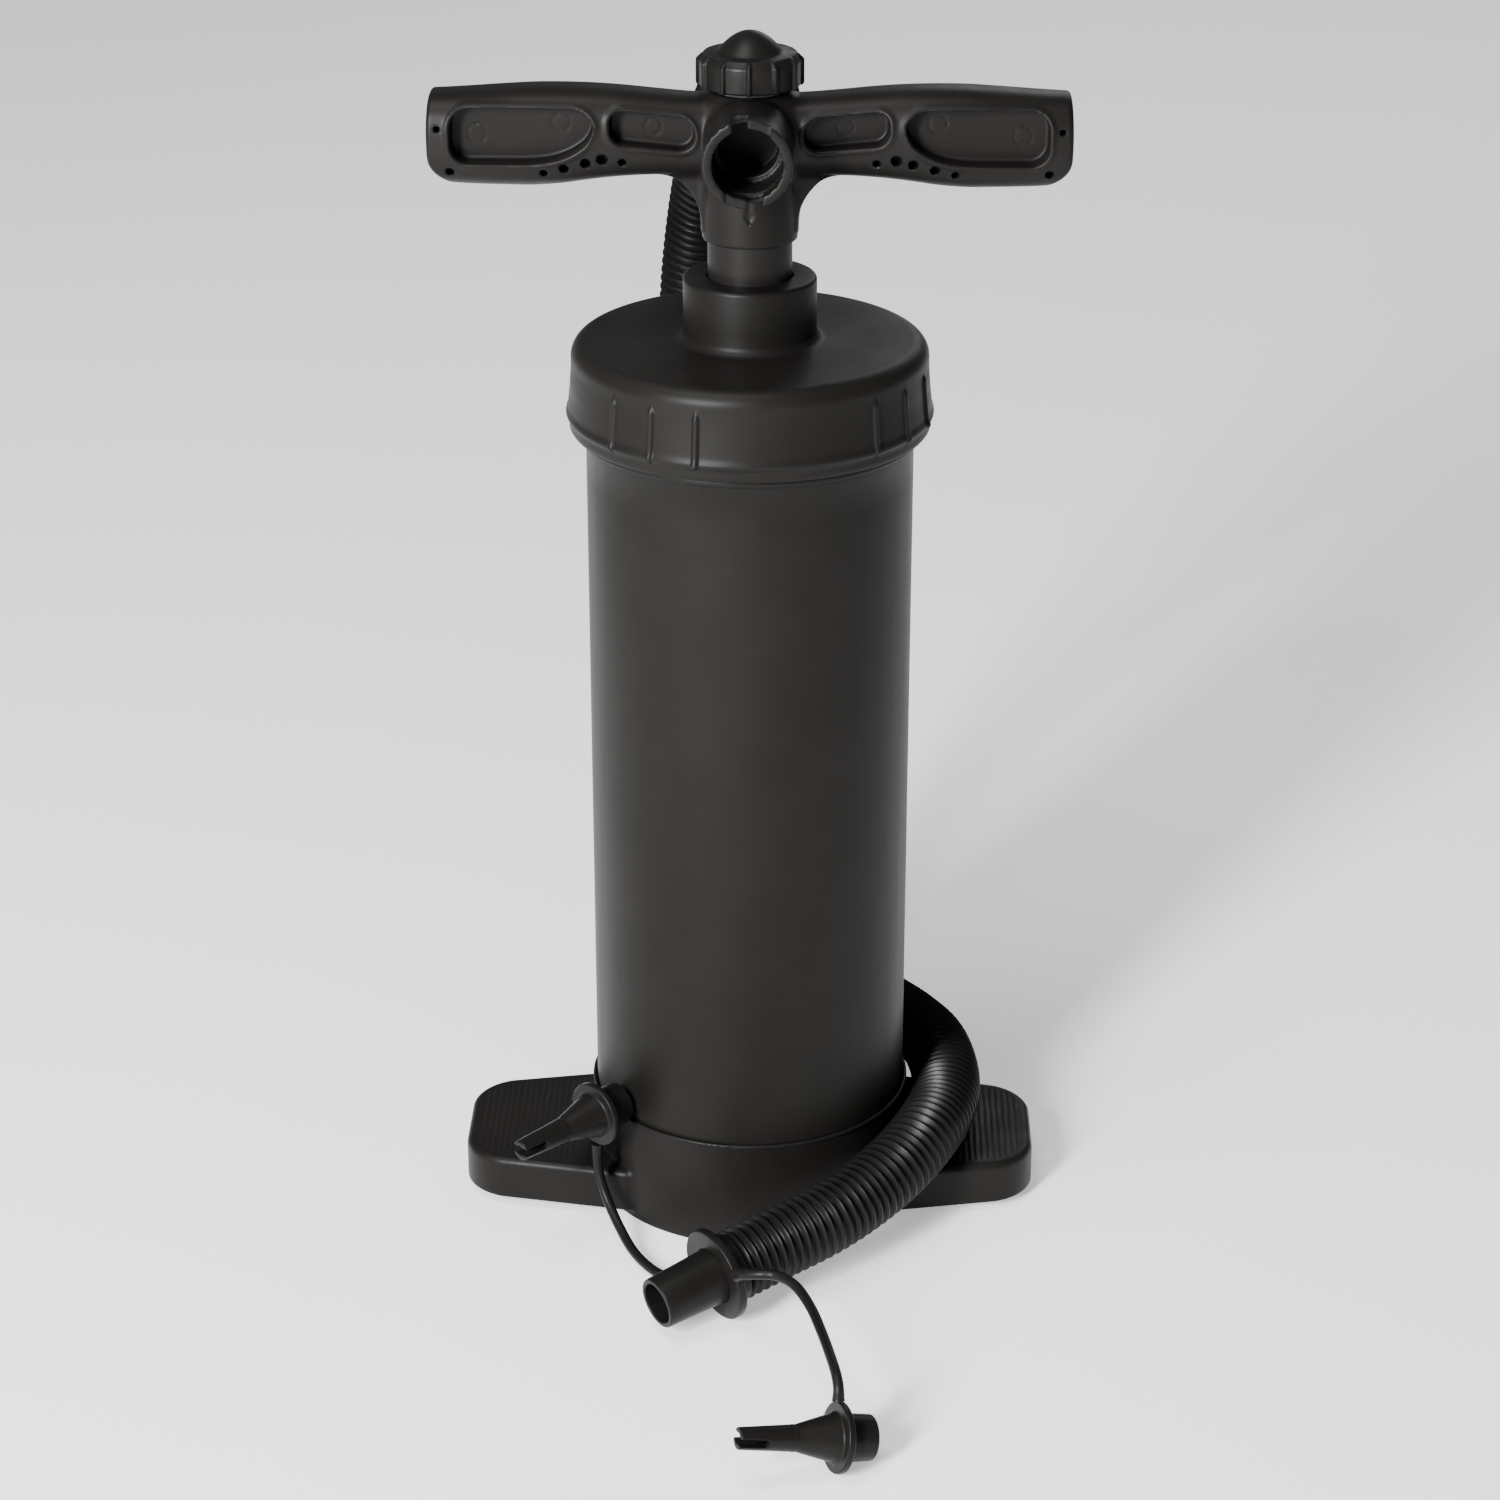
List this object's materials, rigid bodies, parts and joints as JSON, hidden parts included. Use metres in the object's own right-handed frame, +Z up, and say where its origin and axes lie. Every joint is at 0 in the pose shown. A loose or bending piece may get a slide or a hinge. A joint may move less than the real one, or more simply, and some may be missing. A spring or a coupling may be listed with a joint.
{
  "type": "double action hand pump",
  "caption": "Upright double-action hand air pump: barrel with foot pedals, screw cap, T handle with two bayonet ports, corrugated hose with tethered nozzle adapters.",
  "frame": {"origin": "on the floor under the barrel's axis, at the centre of the base, with the plunger fully down", "axes": "+Z up along the barrel, X along the handle bar and the two foot pedals, -Y the side of the intake port, +Y the side where the hose leaves"},
  "size_m": [0.2388, 0.4428, 0.48],
  "materials": {
    "black_plastic": "satin moulded polypropylene, near black",
    "hose_plastic": "satin blow-moulded polyethylene, near black",
    "white_plastic": "natural moulded polypropylene, satin",
    "rubber": "matt black nitrile",
    "steel": "zinc-plated screw"
  },
  "bodies": {
    "root": {"base_foot": "black_plastic", "barrel_tube": "black_plastic", "barrel_base_seal": "rubber", "top_cap": "black_plastic", "cap_gasket": "rubber", "rod_guide_bush": "white_plastic", "guide_retaining_ring": "white_plastic", "rod_seal": "rubber", "hose": "hose_plastic", "hose_nozzle": "black_plastic", "tether_ring": "black_plastic", "adapter_1": "black_plastic", "adapter_2": "black_plastic", "tether_1": "black_plastic", "tether_2": "black_plastic"},
    "plunger": {"rod_outer_tube": "black_plastic", "rod_inner_tube": "white_plastic", "piston_lower_plate": "white_plastic", "piston_upper_plate": "white_plastic", "piston_core": "white_plastic", "piston_seal": "rubber", "piston_screw_1": "steel", "piston_screw_2": "steel", "piston_screw_3": "steel", "piston_screw_4": "steel", "handle_body": "black_plastic"},
    "intake_flap_top": {"intake_flap_upper": "rubber"},
    "intake_flap_bottom": {"intake_flap_lower": "rubber"},
    "outlet_flap_top": {"outlet_flap_upper": "rubber"},
    "outlet_flap_bottom": {"outlet_flap_lower": "rubber"},
    "knob_carrier": {"knob_gasket": "rubber"},
    "knob": {"relief_knob": "black_plastic", "knob_spindle": "white_plastic"},
    "connector": {"hose_connector": "black_plastic", "connector_o_ring": "rubber"}
  },
  "joints": [
    {"name": "plunger_stroke", "type": "slide", "parent": "root", "child": "plunger", "axis": [0, 0, 1], "range_m": [0, 0.28]},
    {"name": "knob_lift", "type": "slide", "parent": "plunger", "child": "knob_carrier", "axis": [0, 0, 1], "range_m": [0, 0.003]},
    {"name": "knob_turn", "type": "hinge", "parent": "knob_carrier", "child": "knob", "pos_m": [0, 0, 0.4599], "axis": [0, 0, 1], "range_deg": [0, 540]},
    {"name": "connector_twist", "type": "hinge", "parent": "plunger", "child": "connector", "pos_m": [0, 0.047, 0.4416], "axis": [0, 1, 0], "range_deg": [0, 60]},
    {"name": "intake_valve_upper", "type": "hinge", "parent": "plunger", "child": "intake_flap_top", "pos_m": [0, -0.024, 0.0619], "axis": [-1, 0, 0], "range_deg": [0, 16], "stiffness_Nm_per_rad": 0.01},
    {"name": "intake_valve_lower", "type": "hinge", "parent": "plunger", "child": "intake_flap_bottom", "pos_m": [0, -0.024, 0.0251], "axis": [1, 0, 0], "range_deg": [0, 16], "stiffness_Nm_per_rad": 0.01},
    {"name": "outlet_valve_upper", "type": "hinge", "parent": "plunger", "child": "outlet_flap_top", "pos_m": [0, 0.024, 0.0551], "axis": [-1, 0, 0], "range_deg": [0, 16], "stiffness_Nm_per_rad": 0.01},
    {"name": "outlet_valve_lower", "type": "hinge", "parent": "plunger", "child": "outlet_flap_bottom", "pos_m": [0, 0.024, 0.0319], "axis": [1, 0, 0], "range_deg": [0, 16], "stiffness_Nm_per_rad": 0.01}
  ],
  "couplings": [
    {"joint": "knob_turn", "follows": "knob_lift", "rad_per_m": 3141.6}
  ]
}
